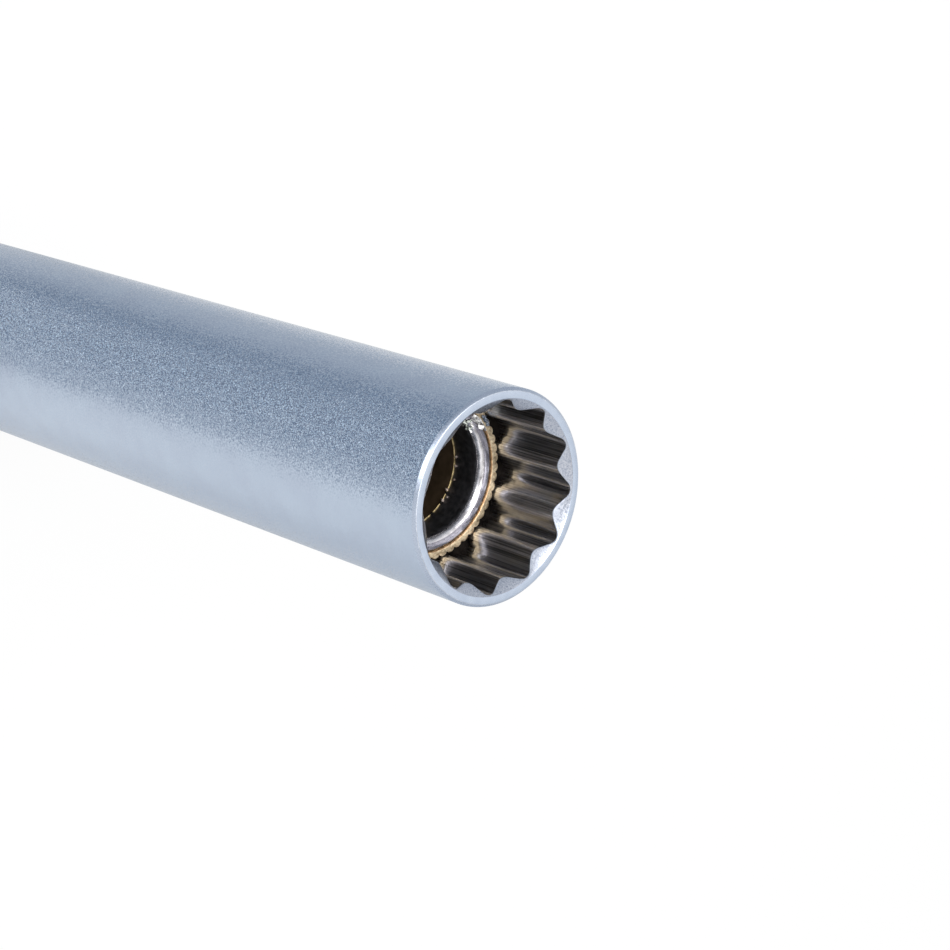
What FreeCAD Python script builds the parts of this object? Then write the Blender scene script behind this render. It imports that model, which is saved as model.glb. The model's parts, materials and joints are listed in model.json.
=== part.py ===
import FreeCAD, Part
import math
import os
import Sketcher

# Magnetic twelve-point spark plug socket. It stands on its drive end: the origin is the centre of
# that end face, +Z runs along the axis and out of the mouth, and +X runs through one of the grooves.
# Lengths are in millimetres and angles in degrees.

SIZES = [
    # steel socket
    ("body_length", 90.0, "socket, drive end to mouth"),
    ("hex_size", 14.0, "plug hexagon, across flats"),
    ("hex_clearance", 0.1, "opening's flats over the plug's, across flats"),
    ("points", 12, "grooves round the mouth"),
    ("groove_rounding", 1.0, "radius at the bottom of a groove"),
    ("ridge_rounding", 1.4, "radius on the ridge between two grooves"),
    ("wall", 1.0, "steel left behind the bottom of a groove"),
    ("mouth_chamfer", 0.28, "outer edge at the mouth"),
    ("lead_in_margin", 0.12, "rim of the lead-in cone outside the groove bottoms"),
    ("lead_in_angle", 51.0, "lead-in cone, from the axis"),
    ("profile_depth", 8.52, "mouth to the flat inner end of the grooves"),
    ("ridge_step", 0.04, "bore of the cup inside the ridges"),
    ("shoulder_width", 1.8, "step that the magnet cup stands on"),
    ("drill_angle", 59.0, "drilled end of the long bore, from the axis"),
    ("web_thickness", 3.0, "web between the long bore and the drive"),
    ("web_hole", 8.0, "hole through the web, diameter"),
    ("drive_square", 9.6, "drive, across flats"),
    ("drive_depth", 11.5, "end face to the bottom of the drive"),
    ("drive_corner", 0.5, "radius in the corners of the drive"),
    ("drive_lead_in", 11.6, "countersink at the drive, diameter"),
    ("drive_chamfer", 0.5, "outer edge at the drive end"),
    ("detent_height", 5.7, "end face to the middle of the detent ring"),
    ("detent_width", 3.0, "detent ring at the flats"),
    ("detent_depth", 0.6, "detent ring below the flats"),
    # brass cup that holds the magnet
    ("insert_depth", 8.08, "mouth to the front of the cup"),
    ("cup_length", 6.0, "cup, front to back"),
    ("knurl_teeth", 51, "teeth round the cup"),
    ("tooth_rounding", 0.5, "radius of a tooth"),
    ("knurl_clearance", 0.02, "tooth tips to the steel"),
    ("cup_wall", 0.73, "tooth tips to the seat of the magnet"),
    ("cup_edge", 0.14, "chamfer on the front inner edge"),
    ("pilot_length", 0.8, "plain stretch at the back, ahead of the teeth"),
    ("floor_lip", 0.13, "cup floor seen inside the bore of the magnet"),
    ("cup_turn", 2.7, "how far the cup's first tooth is turned from +X"),
    # ring magnet
    ("magnet_clearance", 0.05, "magnet to the wall of its seat"),
    ("magnet_setback", 0.05, "front of the cup to the front of the magnet"),
    ("magnet_length", 3.2, "magnet, front to back"),
    ("magnet_wall", 1.21, "magnet, bore to outside"),
    ("magnet_bore_edge", 0.9, "rounding of the bore's front edge"),
    ("magnet_edge", 0.25, "chamfer on the two outer edges"),
]

# A twelve-point opening is two hexagons turned by 30 degrees. Its grooves reach their corners,
# and its ridges stand where their flats cross.
ACROSS_FLATS = "(sizes.hex_size + sizes.hex_clearance)"
HALF_PITCH = "(180 / sizes.points)"
GROOVE_RADIUS = f"({ACROSS_FLATS} / 2 / cos(30))"
RIDGE_RADIUS = f"({ACROSS_FLATS} / 2 / cos({HALF_PITCH}))"
OUTER_RADIUS = f"({GROOVE_RADIUS} + sizes.wall)"

# places on the steel socket, as radii and as heights over the drive end
MOUTH = "sizes.body_length"
RIM_RADIUS = f"({GROOVE_RADIUS} + sizes.lead_in_margin)"
CUP_BORE = f"({RIDGE_RADIUS} - sizes.ridge_step)"
BORE_RADIUS = f"({RIDGE_RADIUS} - sizes.shoulder_width)"
LEAD_IN_END = f"({MOUTH} - ({RIM_RADIUS} - {CUP_BORE}) / tan(sizes.lead_in_angle))"
SHOULDER = f"({MOUTH} - sizes.insert_depth - sizes.cup_length)"
WEB_RADIUS = "(sizes.web_hole / 2)"
WEB_TOP = "(sizes.drive_depth + sizes.web_thickness)"
DRILL_TOP = f"({WEB_TOP} + ({BORE_RADIUS} - {WEB_RADIUS}) / tan(sizes.drill_angle))"
DRIVE_HALF = "(sizes.drive_square / 2)"
DRIVE_RIM = "(sizes.drive_lead_in / 2)"
DETENT_RADIUS = f"({DRIVE_HALF} + sizes.detent_depth)"

# places on the cup and the magnet, from the steel inwards and from the cup's back upwards
TIP_RADIUS = f"({CUP_BORE} - sizes.knurl_clearance)"
TOOTH_CIRCLE = f"({TIP_RADIUS} - sizes.tooth_rounding)"
SEAT_RADIUS = f"({TIP_RADIUS} - sizes.cup_wall)"
SEAT_DEPTH = "(sizes.magnet_setback + sizes.magnet_length)"
CUP_FLOOR = f"(sizes.cup_length - {SEAT_DEPTH})"
MAGNET_RADIUS = f"({SEAT_RADIUS} - sizes.magnet_clearance)"
MAGNET_BORE = f"({MAGNET_RADIUS} - sizes.magnet_wall)"
FLOOR_HOLE = f"({MAGNET_BORE} - sizes.floor_lip)"

# how a sketch numbers the points of an edge, and its own two axes, which meet at its origin
START, END, CENTRE = range(1, 4)
ACROSS_AXIS, UP_AXIS = range(-1, -3, -1)
ORIGIN = (ACROSS_AXIS, START)
UPRIGHT = FreeCAD.Vector(0, 0, 1)
TOUCHING = 1e-4

document = FreeCAD.newDocument("spark_plug_socket")
sheet = document.addObject("Spreadsheet::Sheet", "sizes")


def fill_sheet():
    """Writes what each driving dimension measures, its number and its name."""
    for row, (name, number, meaning) in enumerate(SIZES, start=1):
        sheet.set(f"A{row}", meaning)
        sheet.set(f"B{row}", str(number))
        sheet.setAlias(f"B{row}", name)
    document.recompute()


def value(expression):
    """Number that an expression of the sheet's names comes to."""
    result = sheet.evalExpression(expression)
    return float(getattr(result, "Value", result))


def point(across, up):
    """Point of a sketch whose two places are expressions."""
    return FreeCAD.Vector(value(across), value(up), 0)


def new_body(label):
    """Empty body, named as its sub-part."""
    body = document.addObject("PartDesign::Body", label)
    body.Label = label
    return body


def new_sketch(body, name, plane="XY_Plane", height="0"):
    """Sketch on one of the body's own planes, lifted along its normal by an expression."""
    sketch = body.newObject("Sketcher::SketchObject", name)
    role = {each.Role: each for each in body.Origin.OriginFeatures}
    sketch.AttachmentSupport = [(role[plane], "")]
    sketch.MapMode = "FlatFace"
    sketch.setExpression(".AttachmentOffset.Base.z", height)
    return sketch


def new_feature(body, kind, name, sketch, **sizes):
    """Feature made from a sketch, with its sizes bound to the sheet."""
    feature = body.newObject(f"PartDesign::{kind}", name)
    feature.Profile = sketch
    for size, expression in sizes.items():
        feature.setExpression(size, expression)
    return feature


def bind(sketch, kind, *places, size):
    """Dimension of a sketch, bound to the sheet."""
    index = sketch.addConstraint(Sketcher.Constraint(kind, *places, value(size)))
    sketch.setExpression(f"Constraints[{index}]", size)


def place(sketch, corner, across=None, up=None):
    """Dimensions a corner, given as (edge, end), from the origin along one axis or both."""
    for kind, axis, size in (("DistanceX", UP_AXIS, across), ("DistanceY", ACROSS_AXIS, up)):
        if size is None:
            continue
        if abs(value(size)) < TOUCHING:
            sketch.addConstraint(Sketcher.Constraint("PointOnObject", *corner, axis))
        elif value(size) > 0:
            bind(sketch, kind, *ORIGIN, *corner, size=size)
        else:
            bind(sketch, kind, *corner, *ORIGIN, size=f"-({size})")


def join(sketch, *corners, tangent=False):
    """Closes two edges on each other at a corner, smoothly or not."""
    kind = "Tangent" if tangent else "Coincident"
    edge_and_end = [number for corner in corners for number in corner]
    sketch.addConstraint(Sketcher.Constraint(kind, *edge_and_end))


def draw_outline(sketch, corners):
    """Closed outline of straight lines, its corners given as (across, up) expressions."""
    points = [point(*corner) for corner in corners]
    for here, following in zip(points, points[1:] + points[:1]):
        sketch.addGeometry(Part.LineSegment(here, following), False)
    for index, (across, up) in enumerate(corners):
        before = (index - 1) % len(corners)
        join(sketch, (before, END), (index, START))
        place(sketch, (index, START), across, up)


def draw_circle(sketch, radius, across="0"):
    """Circle with its centre on the sketch's horizontal axis."""
    circle = Part.Circle(point(across, "0"), UPRIGHT, value(radius))
    edge = sketch.addGeometry(circle, False)
    place(sketch, (edge, CENTRE), across, "0")
    bind(sketch, "Radius", edge, size=radius)


def draw_groove(sketch):
    """Section of one groove of the mouth, with half a ridge on either side of it.

    Its rounded bottom and the rounded ridges share straight flanks as tangents. Behind the ridges
    it stays as wide as their tips, all the way to the axis, so that neighbouring cuts overlap.
    """
    bottom_across = f"({GROOVE_RADIUS} - sizes.groove_rounding)"
    ridge_out = f"({RIDGE_RADIUS} + sizes.ridge_rounding)"
    ridge_across = f"({ridge_out} * cos({HALF_PITCH}))"
    ridge_up = f"({ridge_out} * sin({HALF_PITCH}))"
    tip_across = f"({RIDGE_RADIUS} * cos({HALF_PITCH}))"
    tip_up = f"({RIDGE_RADIUS} * sin({HALF_PITCH}))"
    bottom_radius = value("sizes.groove_rounding")
    ridge_radius = value("sizes.ridge_rounding")
    bottom = point(bottom_across, "0")
    ridge = point(ridge_across, ridge_up)
    tip = point(tip_across, tip_up)

    # direction in which the upper flank faces, seen from the centre of the bottom's rounding
    apart = ridge - bottom
    spread = math.acos((bottom_radius + ridge_radius) / apart.Length)
    facing = math.atan2(apart.y, apart.x) - spread
    flank_normal = FreeCAD.Vector(math.cos(facing), math.sin(facing), 0)
    flank = [bottom + flank_normal * bottom_radius, ridge - flank_normal * ridge_radius]
    to_tip = math.radians(value(HALF_PITCH))

    circle = Part.Circle(bottom, UPRIGHT, bottom_radius)
    rounding = sketch.addGeometry(Part.ArcOfCircle(circle, -facing, facing), False)
    place(sketch, (rounding, CENTRE), bottom_across, "0")
    bind(sketch, "Radius", rounding, size="sizes.groove_rounding")
    backs = []
    for side, rounding_end in ((1, END), (-1, START)):

        def mirrored(spot):
            return FreeCAD.Vector(spot.x, side * spot.y, 0)

        line = sketch.addGeometry(Part.LineSegment(*[mirrored(spot) for spot in flank]), False)
        join(sketch, (rounding, rounding_end), (line, START), tangent=True)
        circle = Part.Circle(mirrored(ridge), UPRIGHT, ridge_radius)
        span = sorted([math.pi + side * to_tip, math.pi + side * facing])
        ridge_arc = sketch.addGeometry(Part.ArcOfCircle(circle, *span), False)
        tip_end, flank_end = (START, END) if side > 0 else (END, START)
        join(sketch, (line, END), (ridge_arc, flank_end), tangent=True)
        sign = "" if side > 0 else "-"
        place(sketch, (ridge_arc, CENTRE), ridge_across, f"{sign}{ridge_up}")
        bind(sketch, "Radius", ridge_arc, size="sizes.ridge_rounding")
        place(sketch, (ridge_arc, tip_end), across=tip_across)
        here = mirrored(tip)
        back = sketch.addGeometry(Part.LineSegment(here, FreeCAD.Vector(0, here.y, 0)), False)
        join(sketch, (ridge_arc, tip_end), (back, START))
        sketch.addConstraint(Sketcher.Constraint("Horizontal", back))
        sketch.addConstraint(Sketcher.Constraint("PointOnObject", back, END, UP_AXIS))
        backs.append(back)
    ends = [FreeCAD.Vector(0, side * tip.y, 0) for side in (1, -1)]
    closing = sketch.addGeometry(Part.LineSegment(*ends), False)
    join(sketch, (backs[0], END), (closing, START))
    join(sketch, (backs[1], END), (closing, END))


def turn(body, name, sketch, kind="Revolution"):
    """Solid or cut turned about the upright axis of its sketch."""
    feature = new_feature(body, kind, name, sketch)
    feature.ReferenceAxis = (sketch, ["V_Axis"])
    feature.Angle = 360
    return feature


def repeat_round(body, name, feature, sketch, count):
    """Copies of a feature, evenly spaced about the axis of the body."""
    pattern = body.newObject("PartDesign::PolarPattern", name)
    pattern.Originals = [feature]
    pattern.Axis = (sketch, ["N_Axis"])
    pattern.Angle = 360
    pattern.setExpression("Occurrences", count)
    body.Tip = pattern
    return pattern


def edges_where(shape, test):
    """Names of the edges of a shape that pass a test."""
    return [f"Edge{number}" for number, edge in enumerate(shape.Edges, start=1) if test(edge)]


def round_edges(body, name, test, radius):
    """Rounds the edges of a body's last feature that pass a test."""
    document.recompute()
    base = body.Tip
    fillet = body.newObject("PartDesign::Fillet", name)
    fillet.Base = (base, edges_where(base.Shape, test))
    fillet.setExpression("Radius", radius)
    return fillet


def is_circle(edge, radius, height):
    """True for a circle about the upright axis with this radius, at this height."""
    if not isinstance(edge.Curve, Part.Circle):
        return False
    away = edge.Curve.Center - FreeCAD.Vector(0, 0, height)
    return away.Length < TOUCHING and abs(edge.Curve.Radius - radius) < TOUCHING


def build_socket():
    """Steel socket: a turned sleeve with a twelve-point mouth and a square drive."""
    body = new_body("socket_body")
    turned = new_sketch(body, "turned_section", "XZ_Plane")
    draw_outline(turned, [
        (DRIVE_RIM, "0"),
        (f"({OUTER_RADIUS} - sizes.drive_chamfer)", "0"),
        (OUTER_RADIUS, "sizes.drive_chamfer"),
        (OUTER_RADIUS, f"({MOUTH} - sizes.mouth_chamfer)"),
        (f"({OUTER_RADIUS} - sizes.mouth_chamfer)", MOUTH),
        (RIM_RADIUS, MOUTH),
        (CUP_BORE, LEAD_IN_END),
        (CUP_BORE, SHOULDER),
        (BORE_RADIUS, SHOULDER),
        (BORE_RADIUS, DRILL_TOP),
        (WEB_RADIUS, WEB_TOP),
        (WEB_RADIUS, f"({DRIVE_RIM} - {WEB_RADIUS})"),
    ])
    turn(body, "turned_sleeve", turned)

    groove = new_sketch(body, "groove_section", height=MOUTH)
    draw_groove(groove)
    first = new_feature(body, "Pocket", "first_groove", groove, Length="sizes.profile_depth")
    repeat_round(body, "twelve_point_mouth", first, groove, "sizes.points")

    square = new_sketch(body, "drive_section")
    draw_outline(square, [
        (DRIVE_HALF, DRIVE_HALF),
        (f"-{DRIVE_HALF}", DRIVE_HALF),
        (f"-{DRIVE_HALF}", f"-{DRIVE_HALF}"),
        (DRIVE_HALF, f"-{DRIVE_HALF}"),
    ])
    drive = new_feature(body, "Pocket", "square_drive", square, Length="sizes.drive_depth")
    drive.Reversed = True
    diagonal = value(DRIVE_HALF) * math.sqrt(2)
    depth = value("sizes.drive_depth")

    def is_drive_corner(edge):
        middle = edge.BoundBox.Center
        upright = edge.BoundBox.XLength + edge.BoundBox.YLength < TOUCHING
        return upright and middle.z < depth and abs(math.hypot(middle.x, middle.y) - diagonal) < TOUCHING

    round_edges(body, "drive_corners", is_drive_corner, "sizes.drive_corner")

    detent = new_sketch(body, "detent_section", "XZ_Plane")
    low = "(sizes.detent_height - sizes.detent_width / 2)"
    high = "(sizes.detent_height + sizes.detent_width / 2)"
    draw_outline(detent, [
        (WEB_RADIUS, low),
        (DRIVE_HALF, low),
        (DETENT_RADIUS, f"({low} + sizes.detent_depth)"),
        (DETENT_RADIUS, f"({high} - sizes.detent_depth)"),
        (DRIVE_HALF, high),
        (WEB_RADIUS, high),
    ])
    turn(body, "detent_ring", detent, "Groove")
    return body


def build_cup():
    """Brass cup: a knurled bush with a seat for the magnet and a hole in its floor."""
    body = new_body("magnet_cup")
    core = new_sketch(body, "core_section")
    draw_circle(core, TOOTH_CIRCLE)
    new_feature(body, "Pad", "core", core, Length="sizes.cup_length")

    # the core goes into the steel first, and guides the teeth in behind it
    tooth = new_sketch(body, "tooth_section", height="sizes.pilot_length")
    draw_circle(tooth, "sizes.tooth_rounding", across=TOOTH_CIRCLE)
    first = new_feature(body, "Pad", "first_tooth", tooth,
                        Length="sizes.cup_length - sizes.pilot_length")
    repeat_round(body, "knurl", first, tooth, "sizes.knurl_teeth")

    inside = new_sketch(body, "inside_section", "XZ_Plane")
    draw_outline(inside, [
        ("0", "0"),
        (FLOOR_HOLE, "0"),
        (FLOOR_HOLE, CUP_FLOOR),
        (SEAT_RADIUS, CUP_FLOOR),
        (SEAT_RADIUS, "(sizes.cup_length - sizes.cup_edge)"),
        (f"({SEAT_RADIUS} + sizes.cup_edge)", "sizes.cup_length"),
        ("0", "sizes.cup_length"),
    ])
    turn(body, "seat_and_hole", inside, "Groove")
    body.setExpression(".Placement.Base.z", SHOULDER)
    body.setExpression(".Placement.Rotation.Angle", "sizes.cup_turn")
    return body


def build_magnet():
    """Ring magnet with rounded edges, seated on the floor of the cup."""
    body = new_body("ring_magnet")
    section = new_sketch(body, "ring_section", "XZ_Plane")
    draw_outline(section, [
        (MAGNET_BORE, "0"),
        (f"({MAGNET_RADIUS} - sizes.magnet_edge)", "0"),
        (MAGNET_RADIUS, "sizes.magnet_edge"),
        (MAGNET_RADIUS, "(sizes.magnet_length - sizes.magnet_edge)"),
        (f"({MAGNET_RADIUS} - sizes.magnet_edge)", "sizes.magnet_length"),
        (MAGNET_BORE, "sizes.magnet_length"),
    ])
    turn(body, "ring", section)
    bore = value(MAGNET_BORE)
    front = value("sizes.magnet_length")
    round_edges(body, "bore_edge", lambda edge: is_circle(edge, bore, front), "sizes.magnet_bore_edge")
    body.setExpression(".Placement.Base.z", f"{SHOULDER} + {CUP_FLOOR}")
    return body


def check_objects(bodies):
    """Stops the script if an object failed or a sub-part has no sound solid."""
    for each in document.Objects:
        if "Invalid" in each.State or "Error" in each.State:
            raise RuntimeError(f"{each.Name} failed: {each.State}")
    for body in bodies:
        if body.Shape.isNull() or not body.Shape.isValid() or len(body.Shape.Solids) != 1:
            raise RuntimeError(f"{body.Label} is not one sound solid")


def main():
    """Builds the three sub-parts and writes each to its own file."""
    fill_sheet()
    bodies = [build_socket(), build_cup(), build_magnet()]
    document.recompute()
    check_objects(bodies)
    os.makedirs("parts", exist_ok=True)
    for body in bodies:
        body.Shape.exportStep(f"parts/{body.Label}.step")
        box = body.Shape.optimalBoundingBox(False)
        print(f"{body.Label}: {body.Shape.Volume:.1f} mm3, {len(body.Shape.Faces)} faces,",
              f"z {box.ZMin:.2f} to {box.ZMax:.2f}, radius {box.XMax:.3f}")


main()
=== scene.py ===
"""Looks of a magnetic spark plug socket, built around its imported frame.

The socket stands on its drive end. Lengths are in metres, +Z runs along its axis and out of the mouth,
and +X runs through the middle of one of the mouth's grooves.
"""
import json
import logging
import math
from collections.abc import Callable
from dataclasses import dataclass
from enum import Enum

import bmesh
import bpy
from mathutils import Matrix, Vector


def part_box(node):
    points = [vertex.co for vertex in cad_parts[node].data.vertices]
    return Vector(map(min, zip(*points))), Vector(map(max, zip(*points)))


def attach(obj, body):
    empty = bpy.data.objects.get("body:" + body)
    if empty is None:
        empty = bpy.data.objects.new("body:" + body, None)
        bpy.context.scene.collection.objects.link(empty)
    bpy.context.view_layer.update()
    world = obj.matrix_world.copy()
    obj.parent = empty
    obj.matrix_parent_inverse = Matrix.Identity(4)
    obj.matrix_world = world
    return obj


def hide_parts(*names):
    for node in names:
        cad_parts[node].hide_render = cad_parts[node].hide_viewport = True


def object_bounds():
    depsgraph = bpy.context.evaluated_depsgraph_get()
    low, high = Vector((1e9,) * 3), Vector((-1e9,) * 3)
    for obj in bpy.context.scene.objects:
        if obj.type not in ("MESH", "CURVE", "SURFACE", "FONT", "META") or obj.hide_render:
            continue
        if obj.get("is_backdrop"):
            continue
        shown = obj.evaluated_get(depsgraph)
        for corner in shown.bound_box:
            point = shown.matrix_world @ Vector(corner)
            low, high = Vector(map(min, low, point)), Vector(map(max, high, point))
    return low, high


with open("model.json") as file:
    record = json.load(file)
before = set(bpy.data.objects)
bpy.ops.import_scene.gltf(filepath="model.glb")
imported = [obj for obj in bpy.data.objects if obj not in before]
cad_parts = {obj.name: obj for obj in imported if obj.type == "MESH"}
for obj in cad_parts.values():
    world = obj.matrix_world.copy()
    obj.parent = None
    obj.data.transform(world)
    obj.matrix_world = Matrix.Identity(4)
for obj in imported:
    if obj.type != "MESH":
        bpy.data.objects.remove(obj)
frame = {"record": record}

MM = 0.001
FULL_TURN = 2 * math.pi
BODY = "root"
WHITE = (1.0, 1.0, 1.0)
BLACK = (0.0, 0.0, 0.0, 1.0)
MIDDLE_GREY = (0.5, 0.5, 0.5)
SEAM = 0.0005 * MM
FAR = math.inf
ANY = (-FAR, FAR)
NOISE_SPAN = (0.3, 0.7)
SCALE_DIGITS = 6
PLACE_DIGITS = 9
DEGREES = 360

log = logging.getLogger("spark_plug_socket")

AngleRule = Callable[[float], float]
Pair = tuple[float, float]
Triple = tuple[float, float, float]
Socket = bpy.types.NodeSocket
Material = bpy.types.Material
Piece = bpy.types.Object


class Slot(Enum):
    """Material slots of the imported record."""

    STEEL = "satin_chrome"
    BRASS = "turned_brass"
    NICKEL = "nickel_plate"


def off_axis(spot: Vector) -> float:
    """Distance of a place from the upright axis."""
    return math.hypot(spot.x, spot.y)


def fold(angle: float, pitch: float) -> float:
    """Angle to the nearest multiple of a pitch, both in radians."""
    return abs((angle + pitch / 2) % pitch - pitch / 2)


def arc(centre: float, rounding: float, turned: float) -> float:
    """Distance from the axis to a round beside it, or with a negative rounding to its near side."""
    side = math.sqrt(rounding ** 2 - (centre * math.sin(turned)) ** 2)
    return centre * math.cos(turned) + math.copysign(side, rounding)


def reach(node: str) -> float:
    """Largest distance of a node of the frame from the axis."""
    return max(off_axis(corner.co) for corner in bpy.data.objects[node].data.vertices)


def way(azimuth: float, elevation: float) -> Vector:
    """Direction from the socket, by its angles from +X and above the floor, both in degrees."""
    turn, rise = math.radians(azimuth), math.radians(elevation)
    return Vector((math.cos(turn) * math.cos(rise), math.sin(turn) * math.cos(rise), math.sin(rise)))


def leave_edit_mode() -> None:
    """Goes to object mode and deselects everything."""
    if bpy.context.object is not None and bpy.context.object.mode != "OBJECT":
        bpy.ops.object.mode_set(mode="OBJECT")
    bpy.ops.object.select_all(action="DESELECT")


def work_on(piece: Piece) -> None:
    """Makes a piece the only one selected, and the active one.

    Args:
        piece: Object to work on.
    """
    leave_edit_mode()
    piece.select_set(True)
    bpy.context.view_layer.objects.active = piece


def edit_all(piece: Piece) -> None:
    """Goes to edit mode in one piece, with all of it selected."""
    work_on(piece)
    bpy.ops.object.mode_set(mode="EDIT")
    bpy.ops.mesh.select_all(action="SELECT")


def rename(piece: Piece, name: str) -> None:
    """Names a piece and its mesh."""
    piece.name = piece.data.name = name


def apply_modifier(piece: Piece, kind: str, **settings: object) -> None:
    """Adds a modifier to a piece and applies it at once.

    Args:
        piece: Object that gets the modifier.
        kind: Blender's name of the modifier.
        **settings: Values of the modifier's own settings.
    """
    work_on(piece)
    modifier = piece.modifiers.new(kind.lower(), kind)
    for setting, value in settings.items():
        setattr(modifier, setting, value)
    bpy.ops.object.modifier_apply(modifier=modifier.name)


def smooth(piece: Piece, angle: float = 32.0) -> None:
    """Shades a piece smooth, apart from edges sharper than an angle in degrees, and keeps flats flat."""
    work_on(piece)
    bpy.ops.object.shade_smooth_by_angle(angle=math.radians(angle))
    apply_modifier(piece, "WEIGHTED_NORMAL", keep_sharp=True, weight=90)


class RingWall:
    """Wall of rings about the upright axis, each extruded from the one before in edit mode."""

    def __init__(self, name: str, sides: int, radius: float, height: float) -> None:
        """Adds the first ring.

        Args:
            name: Name of the piece.
            sides: Corners of every ring.
            radius: Radius of the first ring.
            height: Height of the first ring.
        """
        leave_edit_mode()
        bpy.ops.mesh.primitive_circle_add(vertices=sides, radius=radius, location=(0, 0, height))
        self.piece = bpy.context.object
        rename(self.piece, name)
        bpy.ops.object.transform_apply(location=True)
        self.radius = radius
        self.height = height
        self.edge_widths: list[tuple[list[int], float]] = []
        bpy.ops.object.mode_set(mode="EDIT")
        bpy.ops.mesh.select_mode(type="VERT")
        bpy.ops.mesh.select_all(action="SELECT")

    def _last_ring(self) -> dict[int, Vector]:
        """Numbers and places of the last ring's corners, which are the selected ones."""
        mesh = bmesh.from_edit_mesh(self.piece.data)
        return {corner.index: corner.co.copy() for corner in mesh.verts if corner.select}

    def _select(self, numbers: list[int]) -> None:
        """Selects some corners and no others.

        Args:
            numbers: Numbers of the corners.
        """
        bpy.ops.mesh.select_all(action="DESELECT")
        mesh = bmesh.from_edit_mesh(self.piece.data)
        mesh.verts.ensure_lookup_table()
        for number in numbers:
            mesh.verts[number].select_set(True)
        mesh.select_flush_mode()

    def to(self, radius: float, height: float, steps: int = 1, edge: float = 0.0) -> None:
        """Extrudes the last ring to another radius and height, in a straight line.

        Args:
            radius: Radius of the new ring.
            height: Height of the new ring.
            steps: Rings to divide the stretch into.
            edge: Width of the rounding that the new ring's edge gets later.
        """
        start_radius, start_height = self.radius, self.height
        for step in range(1, steps + 1):
            share = step / steps
            next_radius = start_radius + (radius - start_radius) * share
            next_height = start_height + (height - start_height) * share
            scale = next_radius / self.radius
            rise = next_height - self.height
            bpy.ops.mesh.extrude_region_move(TRANSFORM_OT_translate={"value": (0, 0, rise)})
            bpy.ops.transform.resize(value=(scale, scale, 1), center_override=(0, 0, next_height))
            self.radius, self.height = next_radius, next_height
        self.keep_edge(edge)

    def to_shape(self, radius_at: AngleRule, height_at: AngleRule, edge: float = 0.0) -> None:
        """Extrudes the last ring to one whose radius and height change with the angle.

        Corners that make the same move are moved together.

        Args:
            radius_at: Radius of the new ring at an angle.
            height_at: Height of the new ring at an angle.
            edge: Width of the rounding that the new ring's edge gets later.
        """
        bpy.ops.mesh.extrude_region_move(TRANSFORM_OT_translate={"value": (0, 0, 0)})
        alike: dict[Triple, list[int]] = {}
        ring = self._last_ring()
        for number, place in ring.items():
            angle = math.atan2(place.y, place.x)
            radius, height = radius_at(angle), height_at(angle)
            scale = radius / off_axis(place)
            move = (round(scale, SCALE_DIGITS), *(round(z, PLACE_DIGITS) for z in (height - place.z, height)))
            alike.setdefault(move, []).append(number)
        for (scale, rise, height), numbers in alike.items():
            self._select(numbers)
            bpy.ops.transform.translate(value=(0, 0, rise))
            bpy.ops.transform.resize(value=(scale, scale, 1), center_override=(0, 0, height))
        self._select(list(ring))
        self.radius, self.height = radius_at(0.0), height_at(0.0)
        self.keep_edge(edge)

    def drop_to(self, height: float, steps: int) -> None:
        """Extrudes the last ring straight along the axis and ends level, whatever its outline.

        Args:
            height: Height of the new ring.
            steps: Rings to divide the stretch into.
        """
        for step in range(1, steps + 1):
            level = self.height + (height - self.height) * step / steps
            bpy.ops.mesh.extrude_region_move(TRANSFORM_OT_translate={"value": (0, 0, 0)})
            flatten = 0 if step == steps else 1 - step / steps
            bpy.ops.transform.resize(value=(1, 1, flatten), center_override=(0, 0, level))
        self.height = height

    def keep_edge(self, width: float) -> None:
        """Notes the last ring's edge as one to be rounded, and how wide."""
        if width > 0:
            self.edge_widths.append((list(self._last_ring()), width))

    def close(self, segments: int) -> Piece:
        """Merges the last ring with the first, rounds the noted edges and smooths the piece.

        Args:
            segments: Faces across each rounding.

        Returns:
            The finished piece.
        """
        self.keep_edge(next((width for numbers, width in self.edge_widths if 0 in numbers), 0.0))
        leave_edit_mode()
        widest = max(width for _, width in self.edge_widths)
        weights = self.piece.data.attributes.new("bevel_weight_edge", "FLOAT", "EDGE")
        noted = {n: (ring, width) for ring, (numbers, width) in enumerate(self.edge_widths) for n in numbers}
        for edge in self.piece.data.edges:
            first, second = (noted.get(number) for number in edge.vertices)
            if first and first == second:
                weights.data[edge.index].value = first[1] / widest
        edit_all(self.piece)
        bpy.ops.mesh.remove_doubles(threshold=SEAM)
        bpy.ops.mesh.normals_make_consistent(inside=False)
        apply_modifier(
            self.piece, "BEVEL", limit_method="WEIGHT", width=widest, segments=segments,
            offset_type="OFFSET", use_clamp_overlap=True, miter_outer="MITER_SHARP",
        )
        smooth(self.piece)
        return self.piece


def hand_over(piece: Piece, slot: Slot | None, *nodes: str) -> None:
    """Puts a finished piece on the socket's body and reports it.

    Args:
        piece: Finished piece.
        slot: Slot of the record that its finish comes from; not used.
        *nodes: Nodes of the frame that it stands for.
    """
    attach(piece, BODY)
    if nodes:
        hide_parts(*nodes)
    log.info("%s: %d faces, stands for %s", piece.name, len(piece.data.polygons), nodes or "nothing")


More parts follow.
